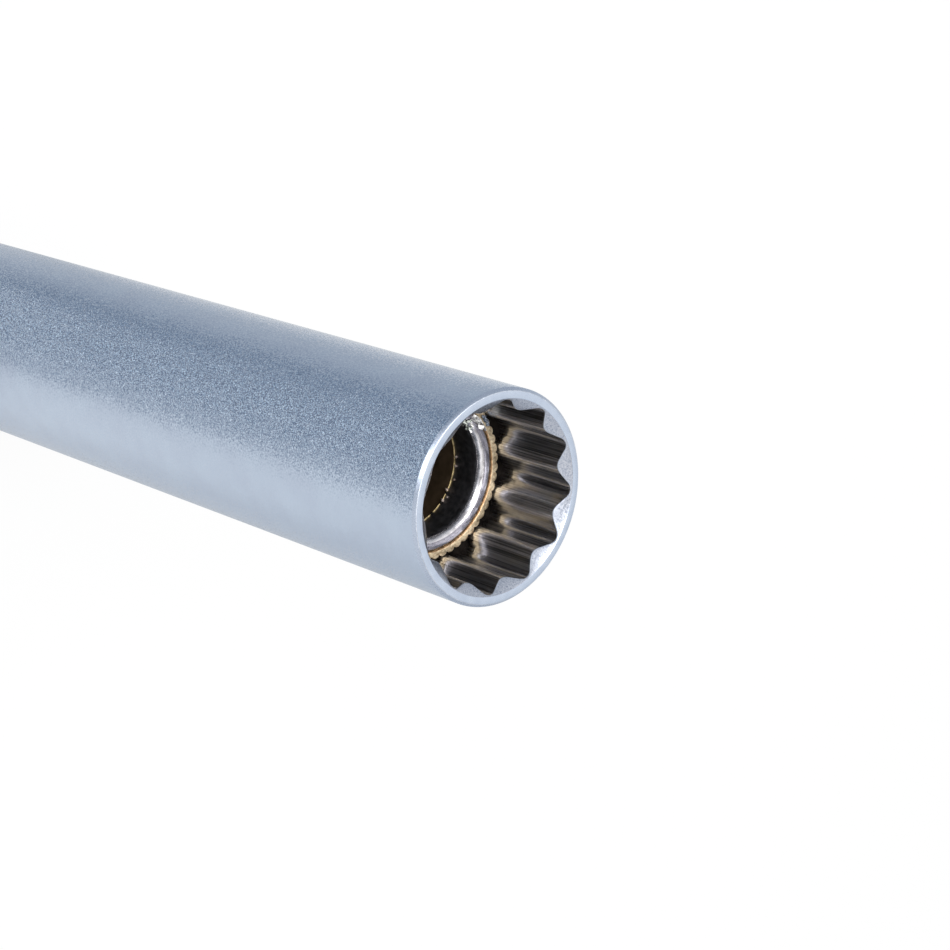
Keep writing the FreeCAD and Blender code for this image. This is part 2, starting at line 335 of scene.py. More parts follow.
class Recipe:
    """Node tree of a material, with one principled shader and patterns on Object coordinates."""

    def __init__(self, name: str, metallic: float = 1.0) -> None:
        """Starts the material.

        Args:
            name: Name of the material.
            metallic: How metallic the shader is.
        """
        self.material = bpy.data.materials.new(name)
        self.material.use_nodes = True
        self.tree = self.material.node_tree
        self.shader = self.tree.nodes["Principled BSDF"]
        self.settle({"Metallic": metallic})
        self.place = self.tree.nodes.new("ShaderNodeTexCoord").outputs["Object"]

    @classmethod
    def on(cls, tree: bpy.types.NodeTree) -> "Recipe":
        """Recipe for a tree that is there already, such as the world's.

        Args:
            tree: Node tree to add to.

        Returns:
            The recipe, without a material or a shader.
        """
        recipe = cls.__new__(cls)
        recipe.tree = tree
        recipe.place = tree.nodes.new("ShaderNodeTexCoord").outputs["Generated"]
        return recipe

    def node(self, kind: str, **settings: object) -> bpy.types.Node:
        """Adds a node.

        Args:
            kind: Blender's type of the node.
            **settings: Values of the node's own settings.

        Returns:
            The new node.
        """
        made = self.tree.nodes.new(kind)
        for setting, value in settings.items():
            setattr(made, setting, value)
        return made

    def link(self, source: Socket, target: Socket) -> None:
        """Links an output to an input."""
        self.tree.links.new(source, target)

    def settle(self, values: dict[str, object]) -> None:
        """Sets inputs of the shader to plain values.

        Args:
            values: Values by the names of their inputs.
        """
        for name, value in values.items():
            self.shader.inputs[name].default_value = value

    def joined(self, kind: str, given: tuple[object, ...], **settings: object) -> Socket:
        """Adds a node that makes one result of what it is given.

        Args:
            kind: Blender's type of the node.
            given: Sockets or plain values for its inputs, in their order.
            **settings: Values of the node's own settings.

        Returns:
            The result.
        """
        made = self.node(kind, **settings)
        for target, each in zip([end for end in made.inputs if end.enabled], given):
            if isinstance(each, Socket):
                self.link(each, target)
            else:
                target.default_value = each
        return next(end for end in made.outputs if end.enabled)

    def maths(self, operation: str, first: object, second: object) -> Socket:
        """Joins two values by one of Blender's operations."""
        return self.joined("ShaderNodeMath", (first, second), operation=operation)

    def vectors(self, operation: str, *given: object) -> Socket:
        """Joins vectors by one of Blender's operations."""
        return self.joined("ShaderNodeVectorMath", given, operation=operation)

    def along(self, axis: str) -> Socket:
        """Adds the coordinate along X, Y or Z."""
        return self.joined("ShaderNodeSeparateXYZ", (self.place,)).node.outputs[axis]

    def rays(self) -> tuple[Socket, Socket]:
        """Adds values that tell who looks.

        Returns:
            One that is 1 where the camera looks, and one that is 1 where metal or glass does.
        """
        path = self.node("ShaderNodeLightPath")
        metal = self.maths("MAXIMUM", path.outputs["Is Glossy Ray"], path.outputs["Is Transmission Ray"])
        return path.outputs["Is Camera Ray"], metal

    def noise(self, size: float, stretch: Triple = (1, 1, 1), detail: float = 3.0,
              place: Socket | None = None, output: str = "Fac") -> Socket:
        """Adds a noise pattern.

        Args:
            size: Size of its blotches.
            stretch: How many times longer the blotches are along each axis.
            detail: Finer layers.
            place: Coordinates, if not the object's own.
            output: Fac for a value, Color for three at once.

        Returns:
            The pattern's value.
        """
        mapping = self.node("ShaderNodeMapping")
        mapping.inputs["Scale"].default_value = [1 / (size * longer) for longer in stretch]
        self.link(place or self.place, mapping.inputs["Vector"])
        noise = self.node("ShaderNodeTexNoise")
        noise.inputs["Scale"].default_value = 1.0
        noise.inputs["Detail"].default_value = detail
        self.link(mapping.outputs["Vector"], noise.inputs["Vector"])
        return noise.outputs[output]

    def from_axis(self) -> Socket:
        """Adds coordinates that hold the distance from the upright axis and the height."""
        flat = self.joined("ShaderNodeCombineXYZ", (self.along("X"), self.along("Y")))
        return self.joined("ShaderNodeCombineXYZ", (self.vectors("LENGTH", flat), 0.0, self.along("Z")))

    def spread(self, value: Socket, low: float, high: float, start: float = NOISE_SPAN[0],
               end: float = NOISE_SPAN[1]) -> Socket:
        """Maps a value, so that the start gives the low result and the end the high one."""
        return self.joined("ShaderNodeMapRange", (value, start, end, low, high), clamp=True)

    def blend(self, share: Socket, first: object, second: object, kind: str = "RGBA") -> Socket:
        """Mixes two colours, or two values of kind FLOAT, by the share of the second."""
        return self.joined("ShaderNodeMix", (share, first, second), data_type=kind)

    def angle(self) -> Socket:
        """Adds the angle about the upright axis, from +X, in radians."""
        return self.maths("ARCTAN2", self.along("Y"), self.along("X"))

    def ramp(self, value: Socket, *stops: tuple[float, Triple]) -> Socket:
        """Turns a value into a colour.

        Args:
            value: Pattern.
            *stops: Values of the pattern, each with its colour.

        Returns:
            The colour.
        """
        ramp = self.node("ShaderNodeValToRGB")
        elements = ramp.color_ramp.elements
        while len(elements) < len(stops):
            elements.new(0.5)
        for element, (place, colour) in zip(elements, stops):
            element.position = place
            element.color = (*colour, 1)
        self.link(value, ramp.inputs["Fac"])
        return ramp.outputs["Color"]

    def paint(self, colour: Socket) -> None:
        """Gives the shader its colour."""
        self.link(colour, self.shader.inputs["Base Color"])

    def tint(self, value: Socket, dark: Triple, light: Triple, span: Pair = NOISE_SPAN) -> None:
        """Colours the shader between two colours by a pattern, over a span of its values."""
        self.paint(self.ramp(value, *zip(span, (dark, light))))

    def rough(self, value: Socket, low: float, high: float) -> None:
        """Sets the shader's roughness between two values by a pattern."""
        self.link(self.spread(value, low, high), self.shader.inputs["Roughness"])

    def bump(self, *layers: tuple[Socket, float]) -> None:
        """Adds bump, one layer over the other.

        Args:
            *layers: Patterns, each with its height.
        """
        for value, height in layers:
            bump = self.node("ShaderNodeBump")
            bump.inputs["Strength"].default_value = 1.0
            bump.inputs["Distance"].default_value = height
            self.link(value, bump.inputs["Height"])
            for under in self.shader.inputs["Normal"].links:
                self.link(under.from_socket, bump.inputs["Normal"])
            for target in ("Normal", "Coat Normal"):
                self.link(bump.outputs["Normal"], self.shader.inputs[target])

    def facets(self, size: float, tilt: Socket) -> None:
        """Tilts the surface at random from grain to grain, over the bump that is there.

        Args:
            size: Size of the grains.
            tilt: How far they tilt.
        """
        centred = self.vectors("SUBTRACT", self.noise(size, detail=1.0, output="Color"), MIDDLE_GREY)
        below = self.shader.inputs["Normal"].links[0].from_socket
        tilted = self.vectors("ADD", below, self.vectors("SCALE", centred, tilt))
        self.link(self.vectors("NORMALIZE", tilted), self.shader.inputs["Normal"])


@dataclass(frozen=True)
class Finish:
    """Metal whose colour, roughness and height follow one noise."""

    name: str
    dark: Triple
    light: Triple
    roughness: Pair
    blotch: float
    detail: float = 3.0
    height: float = 0.0
    metallic: float = 1.0
    contrast: Pair = NOISE_SPAN

    def material(self) -> Material:
        """Makes the material."""
        recipe = Recipe(self.name, self.metallic)
        blotches = recipe.noise(self.blotch, detail=self.detail)
        recipe.tint(blotches, self.dark, self.light, self.contrast)
        recipe.rough(blotches, *self.roughness)
        if self.height:
            recipe.bump((blotches, self.height))
        return recipe.material


@dataclass(frozen=True)
class GranularBrass(Finish):
    """Brass with a grainy face and brighter high spots."""

    roughness: Pair = (0.38, 0.55)
    blotch: float = 0.20 * MM
    height: float = 0.016 * MM


@dataclass(frozen=True)
class ChipSteel(Finish):
    """Iron of the chips, lighter in random blotches; the near-white tone is partly a painted highlight."""

    roughness: Pair = (0.3, 0.5)
    blotch: float = 0.12 * MM
    detail: float = 2.0
    height: float = 0.01 * MM
    metallic: float = 0.75
    contrast: Pair = (0.4, 0.6)


@dataclass(frozen=True)
class SatinChrome:
    """Blasted chrome of the outside: fine facets that tilt at random, on a slow unevenness.

    Between two angles about the axis, where the glints show, the facets tilt further, and bright and dark
    specks are painted into the colour: painted glints and painted shade.
    """

    dark: Triple = (0.47, 0.54, 0.655)
    light: Triple = (0.50, 0.58, 0.695)
    roughness: Pair = (0.10, 0.13)
    speck: float = 0.1 * MM
    painted_dark_speck: Triple = (0.25, 0.31, 0.43)
    painted_glint: Triple = (0.72, 0.85, 1.0)
    speck_steps: tuple[float, ...] = (0.36, 0.5, 0.66)
    facet: float = 0.155 * MM
    tilt: Pair = (0.65, 1.55)
    glint_band_from: Pair = (-124.0, -97.0)
    glint_band_to: Pair = (-84.0, -55.0)
    wave: float = 9.0 * MM
    wave_swing: float = 5.0
    swell: float = 3.0 * MM
    swell_height: float = 0.03 * MM

    def material(self) -> Material:
        """Makes the material."""
        recipe = Recipe("satin_chrome_finish")
        clouds = recipe.noise(self.swell)
        swing = math.radians(self.wave_swing)
        turn = recipe.maths("ADD", recipe.angle(), recipe.spread(recipe.noise(self.wave), -swing, swing))
        entered = recipe.spread(turn, 0.0, 1.0, *map(math.radians, self.glint_band_from))
        left = recipe.spread(turn, 0.0, 1.0, *map(math.radians, self.glint_band_to))
        glint_band = recipe.blend(left, entered, 0.0, "FLOAT")
        even = recipe.ramp(clouds, *zip(NOISE_SPAN, (self.dark, self.light)))
        # Painted glints and painted shade: bright and dark specks, only in the band where the glints show.
        colours = (self.painted_dark_speck, self.light, self.painted_glint)
        specks = recipe.ramp(recipe.noise(self.speck, detail=1.0), *zip(self.speck_steps, colours))
        recipe.paint(recipe.blend(glint_band, even, specks))
        recipe.rough(clouds, *self.roughness)
        recipe.bump((clouds, self.swell_height))
        recipe.facets(self.facet, recipe.blend(glint_band, *self.tilt, "FLOAT"))
        return recipe.material


@dataclass(frozen=True)
class TurnedChrome:
    """Bright chrome of the mouth's end face, with fine turning marks."""

    dark: Triple = (0.57, 0.645, 0.775)
    light: Triple = (0.64, 0.715, 0.835)
    roughness: Pair = (0.20, 0.28)
    cloud: float = 0.9 * MM
    mark: float = 0.04 * MM
    mark_height: float = 0.0012 * MM

    def material(self) -> Material:
        """Makes the material."""
        recipe = Recipe("turned_chrome_finish")
        marks = recipe.noise(self.mark, place=recipe.from_axis())
        clouds = recipe.noise(self.cloud)
        recipe.tint(clouds, self.dark, self.light)
        recipe.rough(clouds, *self.roughness)
        recipe.bump((marks, self.mark_height))
        return recipe.material


@dataclass(frozen=True)
class GrooveChrome:
    """Grey chrome inside the grooves, drawn out along them, with painted shade that darkens it towards black
    at the grooves' deep ends.
    """

    name: str = "groove_finish"
    dark: Triple = (0.14, 0.15, 0.17)
    light: Triple = (0.42, 0.44, 0.48)
    contrast: Pair = (0.4, 0.6)
    deep_shade: float = 0.22
    deep_shade_heights: Pair = (81.6 * MM, 83.6 * MM)
    roughness: Pair = (0.38, 0.50)
    clear_share: float = 1.0
    clear_ior: float = 2.9
    clear_roughness: float = 0.12
    drawn: float = 0.6
    streak: float = 0.14 * MM
    streak_length: float = 100.0
    streak_height: float = 0.008 * MM

    def material(self) -> Material:
        """Makes the material."""
        recipe = Recipe(self.name)
        streaks = recipe.noise(self.streak, stretch=(1, 1, self.streak_length))
        # Painted shade: the colour fades towards black deeper in the grooves.
        unshaded = recipe.spread(recipe.along("Z"), self.deep_shade, 1.0, *self.deep_shade_heights)
        colour = recipe.ramp(streaks, *zip(self.contrast, (self.dark, self.light)))
        recipe.paint(recipe.blend(unshaded, BLACK, colour))
        recipe.rough(streaks, *self.roughness)
        recipe.bump((streaks, self.streak_height))
        recipe.settle({
            "Anisotropic": self.drawn, "Coat Weight": self.clear_share, "Coat IOR": self.clear_ior,
            "Coat Roughness": self.clear_roughness,
        })
        around = recipe.node("ShaderNodeTangent", direction_type="RADIAL", axis="Z")
        recipe.link(around.outputs["Tangent"], recipe.shader.inputs["Tangent"])
        return recipe.material


@dataclass(frozen=True)
class NickelPlate:
    """Bright nickel plate with a slow waviness and fine scratches."""

    name: str = "nickel_plate_finish"
    dark: Triple = (0.46, 0.44, 0.46)
    light: Triple = (0.90, 0.88, 0.90)
    roughness: Pair = (0.16, 0.28)
    swell: float = 0.9 * MM
    swell_height: float = 0.05 * MM
    grain: float = 0.12 * MM
    grain_height: float = 0.003 * MM

    def material(self) -> Material:
        """Makes the material."""
        recipe = Recipe(self.name)
        swell = recipe.noise(self.swell, detail=1.0)
        grain = recipe.noise(self.grain, detail=2.0)
        recipe.tint(swell, self.dark, self.light)
        recipe.rough(grain, *self.roughness)
        recipe.bump((swell, self.swell_height), (grain, self.grain_height))
        return recipe.material


class Metal(Enum):
    """Finishes of the socket, by where they are."""

    SATIN = SatinChrome()
    GROOVE = GrooveChrome()
    # Painted highlight: the ridges get a lighter copy of the groove chrome, with no painted shade at their
    # ends.
    RIDGE = GrooveChrome("painted_highlight_ridge_finish", (0.36, 0.37, 0.40), (0.92, 0.93, 0.96), deep_shade=1.0)
    END_FACE = TurnedChrome()
    CHAMFER = Finish("chamfer_finish", (0.46, 0.52, 0.63), (0.52, 0.58, 0.69), (0.24, 0.32), 0.15 * MM, 2.0,
                     0.002 * MM)
    # Painted highlight: lighter, rougher chrome on the edge roundings, so that they show as a bright line.
    EDGE = Finish("painted_highlight_edge_finish", (0.52, 0.57, 0.66), (0.78, 0.82, 0.90), (0.40, 0.50), 0.5 * MM)
    LEAD_IN = Finish("lead_in_finish", (0.36, 0.40, 0.49), (0.66, 0.68, 0.74), (0.27, 0.35), 0.13 * MM, 2.0,
                     0.005 * MM)
    # Painted shade: near-black steel for the inside below the grooves, which lies in shade.
    DARK_STEEL = Finish("painted_shade_steel_finish", (0.012, 0.010, 0.009), (0.030, 0.024, 0.020), (0.38, 0.52),
                        0.8 * MM, 5.0, 0.004 * MM)
    BORE_STEEL = Finish("bore_steel_finish", (0.025, 0.017, 0.012), (0.080, 0.056, 0.034), (0.4, 0.55),
                        1.6 * MM, 4.0, metallic=0.1)
    BRASS = GranularBrass("granular_brass_finish", (0.50, 0.35, 0.20), (1.0, 0.85, 0.60))
    ORANGE_BRASS = GranularBrass("orange_brass_finish", (0.20, 0.09, 0.04), (0.74, 0.44, 0.22))
    PATCHY_BRASS = GranularBrass("patchy_brass_finish", (0.10, 0.06, 0.02), (1.0, 0.80, 0.42),
                                 blotch=0.35 * MM)
    # Painted shade: dark brown brass for the wall of the cup's hole.
    TARNISHED_BRASS = Finish("painted_shade_brass_hole_finish", (0.08, 0.055, 0.03), (0.16, 0.11, 0.07), (0.35, 0.45),
                             1.2 * MM, metallic=0.5)
    # Painted shade: near-black nickel for the magnet's bore.
    DULL_NICKEL = Finish("painted_shade_nickel_bore_finish", (0.10, 0.10, 0.115), (0.20, 0.20, 0.22), (0.45, 0.6),
                         0.5 * MM, 4.0, 0.004 * MM)
    NICKEL = NickelPlate()
    # Painted shade: a darker copy of the nickel for the magnet's flat front.
    WORN_NICKEL = NickelPlate("painted_shade_nickel_flat_finish", (0.31, 0.295, 0.335), (0.46, 0.44, 0.485))


@dataclass(frozen=True)
class Zone:
    """Faces between two radii and two heights, whose normals rise by an amount between two others."""

    metal: Metal
    radii: Pair = ANY
    heights: Pair = ANY
    facing: Pair = ANY

    def holds(self, face: bpy.types.MeshPolygon) -> bool:
        """Tells whether a face lies in the zone.

        Args:
            face: Face, of which the middle and the normal count.

        Returns:
            True where it does.
        """
        values = (off_axis(face.center), face.center.z, face.normal.z)
        spans = (self.radii, self.heights, self.facing)
        return all(low < value < high for value, (low, high) in zip(values, spans))


def paint_faces(piece: Piece, *zones: Zone) -> None:
    """Gives each face the finish of the last zone that holds it.

    Args:
        piece: Mesh to paint.
        *zones: Zones of the mesh.
    """
    made = {zone.metal: zone.metal.value.material() for zone in zones}
    piece.data.materials.clear()
    for number, zone in enumerate(zones):
        piece.data.materials.append(made[zone.metal])
        leave_edit_mode()
        for face in piece.data.polygons:
            face.select = zone.holds(face)
        work_on(piece)
        piece.active_material_index = number
        bpy.ops.object.mode_set(mode="EDIT")
        bpy.ops.mesh.select_mode(type="FACE")
        bpy.ops.object.material_slot_assign()
    leave_edit_mode()


@dataclass(frozen=True)
class MouthSection:
    """Twelve-point section of the mouth: rounded grooves and ridges joined by straight flanks."""

    points: int = 12
    plug_sides: int = 6
    across_flats: float = 14.1 * MM
    groove_rounding: float = 1.0 * MM
    ridge_rounding: float = 1.4 * MM

    @property
    def groove_radius(self) -> float:
        """Distance from the axis to the bottom of a groove."""
        return self.across_flats / 2 / math.cos(math.pi / self.plug_sides)

    @property
    def ridge_radius(self) -> float:
        """Distance from the axis to the crest of a ridge."""
        return self.across_flats / 2 / math.cos(math.pi / self.points)

    def radius(self, angle: float) -> float:
        """Radius of the section.

        Args:
            angle: Angle from +X, in radians.

        Returns:
            Distance from the axis to the steel at that angle.
        """
        pitch = FULL_TURN / self.points
        turned = fold(angle, pitch)
        bottom = Vector((self.groove_radius - self.groove_rounding, 0))
        out = self.ridge_radius + self.ridge_rounding
        ridge = Vector((out * math.cos(pitch / 2), out * math.sin(pitch / 2)))
        apart = ridge - bottom
        spread = math.acos((self.groove_rounding + self.ridge_rounding) / apart.length)
        facing = math.atan2(apart.y, apart.x) - spread
        normal = Vector((math.cos(facing), math.sin(facing)))
        flank_start = bottom + normal * self.groove_rounding
        flank_end = ridge - normal * self.ridge_rounding
        if turned < math.atan2(flank_start.y, flank_start.x):
            return arc(bottom.x, self.groove_rounding, turned)
        if turned > math.atan2(flank_end.y, flank_end.x):
            return arc(out, -self.ridge_rounding, pitch / 2 - turned)
        return flank_start.dot(normal) / math.cos(turned - facing)


@dataclass(frozen=True)
class DriveSection:
    """Square of the drive, with rounded corners and a lead-in cone."""

    half: float = 4.8 * MM
    corner: float = 0.5 * MM

    def radius(self, angle: float) -> float:
        """Radius of the square.

        Args:
            angle: Angle from +X, in radians.

        Returns:
            Distance from the axis to the square's outline at that angle.
        """
        quarter = math.pi / 2
        turned = fold(angle, quarter)
        if math.atan2(self.half - self.corner, self.half) < turned:
            return arc((self.half - self.corner) * math.sqrt(2), self.corner, quarter / 2 - turned)
        return self.half / math.cos(turned)


@dataclass
class SocketSleeve:
    """Steel sleeve, from the mouth to the square drive."""

    mouth: MouthSection = MouthSection()
    drive: DriveSection = DriveSection()
    sides: int = 480
    outer_chamfer: float = 0.28 * MM
    rim_margin: float = 0.12 * MM
    lead_in_angle: float = math.radians(51.0)
    groove_depth: float = 8.52 * MM
    ridge_step: float = 0.04 * MM
    ridge_height: float = 0.2 * MM
    shoulder_width: float = 1.8 * MM
    drill_angle: float = math.radians(59.0)
    web_hole: float = 4.0 * MM
    web_top: float = 14.5 * MM
    drive_depth: float = 11.5 * MM
    drive_lead_in: float = 5.8 * MM
    drive_chamfer: float = 0.5 * MM
    detent_height: float = 5.7 * MM
    detent_half: float = 1.5 * MM
    detent_depth: float = 0.6 * MM
    fine_edge: float = 0.035 * MM
    shiny_edge: float = 0.06 * MM
    soft_edge: float = 0.09 * MM
    side_steps: int = 30
    groove_steps: int = 6
    bore_steps: int = 12
    edge_segments: int = 3
    cone_reach: float = 1.2 * MM
    cone_facing: float = 0.3
    face_facing: float = 0.9
    outer_edge_facing: Pair = (0.73, 0.98)
    inner_edge_facing: Pair = (0.08, 0.72)

    def __post_init__(self) -> None:
        """Takes the overall size from the frame."""
        self.outer = reach("socket_body")
        self.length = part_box("socket_body")[1].z
        self.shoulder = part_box("magnet_cup")[0].z
        self.rim = self.mouth.groove_radius + self.rim_margin
        self.bore = self.mouth.ridge_radius - self.shoulder_width
        self.groove_end = self.length - self.groove_depth
        self.cup_bore = self.mouth.ridge_radius - self.ridge_step

    def lead_in_height(self, angle: float) -> float:
        """Height at which the lead-in cone meets the section of the mouth at an angle."""
        inward = self.rim - self.mouth.radius(angle)
        return self.length - inward / math.tan(self.lead_in_angle)

    def build(self) -> Piece:
        """Models the sleeve, ring by ring: up the outside, in at the mouth and down the inside.

        Returns:
            The finished piece.
        """
        side_top = self.length - self.outer_chamfer
        wall = RingWall("socket_sleeve", self.sides, self.outer, self.drive_chamfer)
        wall.keep_edge(self.soft_edge)
        wall.to(self.outer, side_top, steps=self.side_steps, edge=self.fine_edge)
        wall.to(self.outer - self.outer_chamfer, self.length, edge=self.shiny_edge)
        wall.to(self.rim, self.length, edge=self.fine_edge)
        wall.to_shape(self.mouth.radius, self.lead_in_height, edge=self.shiny_edge)
        wall.drop_to(self.groove_end, steps=self.groove_steps)
        wall.to_shape(lambda angle: self.cup_bore, lambda angle: self.groove_end)
        wall.to(self.cup_bore, self.shoulder)
        wall.to(self.bore, self.shoulder)
        drill_top = self.web_top + (self.bore - self.web_hole) / math.tan(self.drill_angle)
        wall.to(self.bore, drill_top, steps=self.bore_steps)
        wall.to(self.web_hole, self.web_top, edge=self.soft_edge)
        wall.to(self.web_hole, self.drive_depth, edge=self.soft_edge)
        self._shape_drive(wall)
        wall.to_shape(lambda angle: self.outer - self.drive_chamfer, lambda angle: 0.0, edge=self.soft_edge)
        wall.to(self.outer, self.drive_chamfer)
        return wall.close(segments=self.edge_segments)

    def _shape_drive(self, wall: RingWall) -> None:
        """Adds the square drive and its detent ring, down to the end face.

        Args:
            wall: Wall that reaches down to the drive.
        """
        square = self.drive.radius
        low = self.detent_height - self.detent_half
        high = self.detent_height + self.detent_half
        detent = self.drive.half + self.detent_depth

        def into_detent(angle: float) -> float:
            """How deep the detent's slope has gone at an angle."""
            return min(square(angle) - self.drive.half, self.detent_depth)

        def behind_square(angle: float) -> float:
            """Radius of the square or of the detent ring, whichever is larger."""
            return max(square(angle), detent)

        def cone_height(angle: float) -> float:
            """Height at which the lead-in cone meets the square."""
            return max(self.drive_lead_in - square(angle), 0.0)

        wall.to_shape(square, lambda angle: self.drive_depth)
        wall.to_shape(square, lambda angle: high - into_detent(angle))
        wall.to_shape(behind_square, lambda angle: high - self.detent_depth)
        wall.to_shape(behind_square, lambda angle: low + self.detent_depth)
        wall.to_shape(square, lambda angle: low + into_detent(angle))
        wall.to_shape(square, cone_height)
        wall.to_shape(lambda angle: max(square(angle), self.drive_lead_in), lambda angle: 0.0)

    def dress(self, piece: Piece) -> None:
        """Gives each zone of the sleeve its finish.

        Args:
            piece: Finished sleeve.
        """
        ridge_top = self.mouth.ridge_radius + self.ridge_height
        face_inner = self.rim - self.fine_edge
        face_outer = self.outer - self.outer_chamfer
        inside, grooved = (0.0, self.rim), (self.groove_end, FAR)
        coned = (self.length - self.cone_reach, FAR)
        paint_faces(
            piece,
            Zone(Metal.SATIN),
            Zone(Metal.GROOVE, inside, grooved),
            # Painted highlight: lighter ridges.
            Zone(Metal.RIDGE, (0.0, ridge_top), grooved),
            # Painted shade: near-black steel below the grooves.
            Zone(Metal.DARK_STEEL, inside, (self.drive_chamfer, self.groove_end + self.fine_edge)),
            Zone(Metal.BORE_STEEL, (0.0, self.bore + self.fine_edge),
                 (self.drive_chamfer, self.shoulder + self.fine_edge)),
            Zone(Metal.LEAD_IN, inside, coned, (self.cone_facing, FAR)),
            Zone(Metal.CHAMFER, (face_outer, FAR), (self.length - self.outer_chamfer, FAR)),
            Zone(Metal.END_FACE, (face_inner, FAR), (self.length - self.fine_edge, FAR),
                 (self.face_facing, FAR)),
            # Painted highlight on the outer and the inner edge roundings.
            Zone(Metal.EDGE, (face_outer - self.shiny_edge, FAR), (self.length - self.shiny_edge, FAR),
                 self.outer_edge_facing),
            Zone(Metal.EDGE, (0.0, face_inner), coned, self.inner_edge_facing),
        )
        hand_over(piece, Slot.STEEL, "socket_body")


@dataclass
class MagnetCup:
    """Knurled brass cup that holds the magnet."""

    teeth: int = 51
    steps: int = 12
    tooth_steps: int = 4
    edge_segments: int = 3
    tooth_rounding: float = 0.5 * MM
    wall: float = 0.73 * MM
    edge: float = 0.08 * MM
    pilot: float = 0.8 * MM
    turned: float = math.radians(2.7)
    fine_edge: float = 0.05 * MM
    hole_margin: float = 0.01 * MM
    upward: float = 0.2
    sideways: float = 0.3

    def __post_init__(self) -> None:
        """Takes the overall size from the frame and from the magnet in the cup."""
        low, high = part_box("magnet_cup")
        self.back, self.front = low.z, high.z
        self.tip = reach("magnet_cup")
        self.circle = self.tip - self.tooth_rounding
        self.seat = self.tip - self.wall
        self.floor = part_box("ring_magnet")[0].z
        self.hole = frame_radius("insulator_hole")

    def tooth_radius(self, angle: float) -> float:
        """Radius of the knurl at an angle, as if its first tooth stood on +X."""
        return arc(self.circle, self.tooth_rounding, fold(angle, FULL_TURN / self.teeth))

    def build(self) -> Piece:
        """Models the cup, ring by ring: up the hole, over the seat and down the teeth.

        Returns:
            The finished piece.
        """
        wall = RingWall("knurled_brass_cup", self.teeth * self.steps, self.hole, self.back)
        wall.to(self.hole, self.floor, edge=self.fine_edge)
        wall.to(self.seat, self.floor)
        wall.to(self.seat, self.front - self.edge)
        wall.to(self.seat + self.edge, self.front, edge=self.fine_edge)
        wall.to_shape(self.tooth_radius, lambda angle: self.front, edge=self.fine_edge)
        wall.drop_to(self.back + self.pilot, steps=self.tooth_steps)
        wall.to_shape(lambda angle: self.circle, lambda angle: self.back + self.pilot)
        wall.to(self.circle, self.back)
        wall.to(self.hole, self.back)
        piece = wall.close(segments=self.edge_segments)
        work_on(piece)
        piece.rotation_euler.z = self.turned
        bpy.ops.object.transform_apply(rotation=True)
        return piece

    def dress(self, piece: Piece) -> None:
        """Gives the cup its finish, a browner one about the magnet, a patchy one on the floor's lip and a
        dark brown painted shade on the hole's wall.

        Args:
            piece: Finished cup.
        """
        lip = self.floor + self.edge
        up = (self.upward, FAR)
        paint_faces(
            piece,
            Zone(Metal.BRASS),
            Zone(Metal.ORANGE_BRASS, (0.0, self.seat + self.edge), (lip, FAR), up),
            Zone(Metal.PATCHY_BRASS, heights=(0.0, lip), facing=up),
            # Painted shade on the hole's wall.
            Zone(Metal.TARNISHED_BRASS, (0.0, self.hole + self.hole_margin),
                 facing=(-self.sideways, self.sideways)),
        )
        hand_over(piece, Slot.BRASS, "magnet_cup")


@dataclass
class RingMagnet:
    """Nickel-plated ring magnet with rounded edges."""

    sides: int = 240
    bore_steps: int = 4
    rim_steps: int = 3
    edge_segments: int = 8
    wall: float = 1.21 * MM
    bore_edge: float = 0.9 * MM
    rim_edge: float = 0.25 * MM
    flat_facing: float = 0.93
    bore_facing: float = 0.35

    def __post_init__(self) -> None:
        """Takes the overall size from the frame."""
        low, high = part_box("ring_magnet")
        self.back, self.front = low.z, high.z
        self.outer = reach("ring_magnet")
        self.bore = self.outer - self.wall

    def build(self) -> Piece:
        """Models the magnet, ring by ring.

        Returns:
            The finished piece.
        """
        wall = RingWall("nickel_ring_magnet", self.sides, self.bore, self.back)
        wall.to(self.bore, self.front, steps=self.bore_steps, edge=self.bore_edge)
        wall.to(self.outer, self.front, edge=self.rim_edge)
        wall.to(self.outer, self.back, steps=self.rim_steps, edge=self.rim_edge)
        wall.to(self.bore, self.back)
        return wall.close(segments=self.edge_segments)

    def dress(self, piece: Piece) -> None:
        """Gives the magnet its finish.

        Args:
            piece: Finished magnet.
        """
        paint_faces(
            piece,
            Zone(Metal.NICKEL),
            # Painted shade: a darker copy of the nickel on the flat front.
            Zone(Metal.WORN_NICKEL, facing=(self.flat_facing, FAR)),
            # Painted shade: a dark copy of the nickel in the bore.
            Zone(Metal.DULL_NICKEL, (0.0, self.outer - self.wall / 2),
                 facing=(-self.bore_facing, self.bore_facing)),
        )
        hand_over(piece, Slot.NICKEL, "ring_magnet")


class ChipTone(Enum):
    """Finishes of the iron chips."""

    # Painted highlight, partly: the near-white iron of the chips that show as white.
    BRIGHT = ChipSteel("bright_iron_with_painted_highlight_finish", (0.42, 0.41, 0.40), (1.0, 0.99, 0.97))
    GREENISH = ChipSteel("greenish_iron_finish", (0.04, 0.05, 0.04), (0.70, 0.74, 0.68))
    BLUISH = ChipSteel("bluish_iron_finish", (0.10, 0.12, 0.16), (0.42, 0.48, 0.58))
    GOLDEN = ChipSteel("golden_chip_finish", (0.62, 0.44, 0.34), (1.0, 0.88, 0.78))
    DARK = ChipSteel("dark_chip_finish", (0.010, 0.009, 0.008), (0.035, 0.030, 0.026))


@dataclass(frozen=True)
class Chip:
    """One chip of iron: where it lies round the axis, its three sizes and its three turns."""

    angle: float
    radius: float
    length: float
    width: float
    thickness: float
    turn: float
    lean: float
    pitch: float
    tone: ChipTone
    rise: float = 0.0


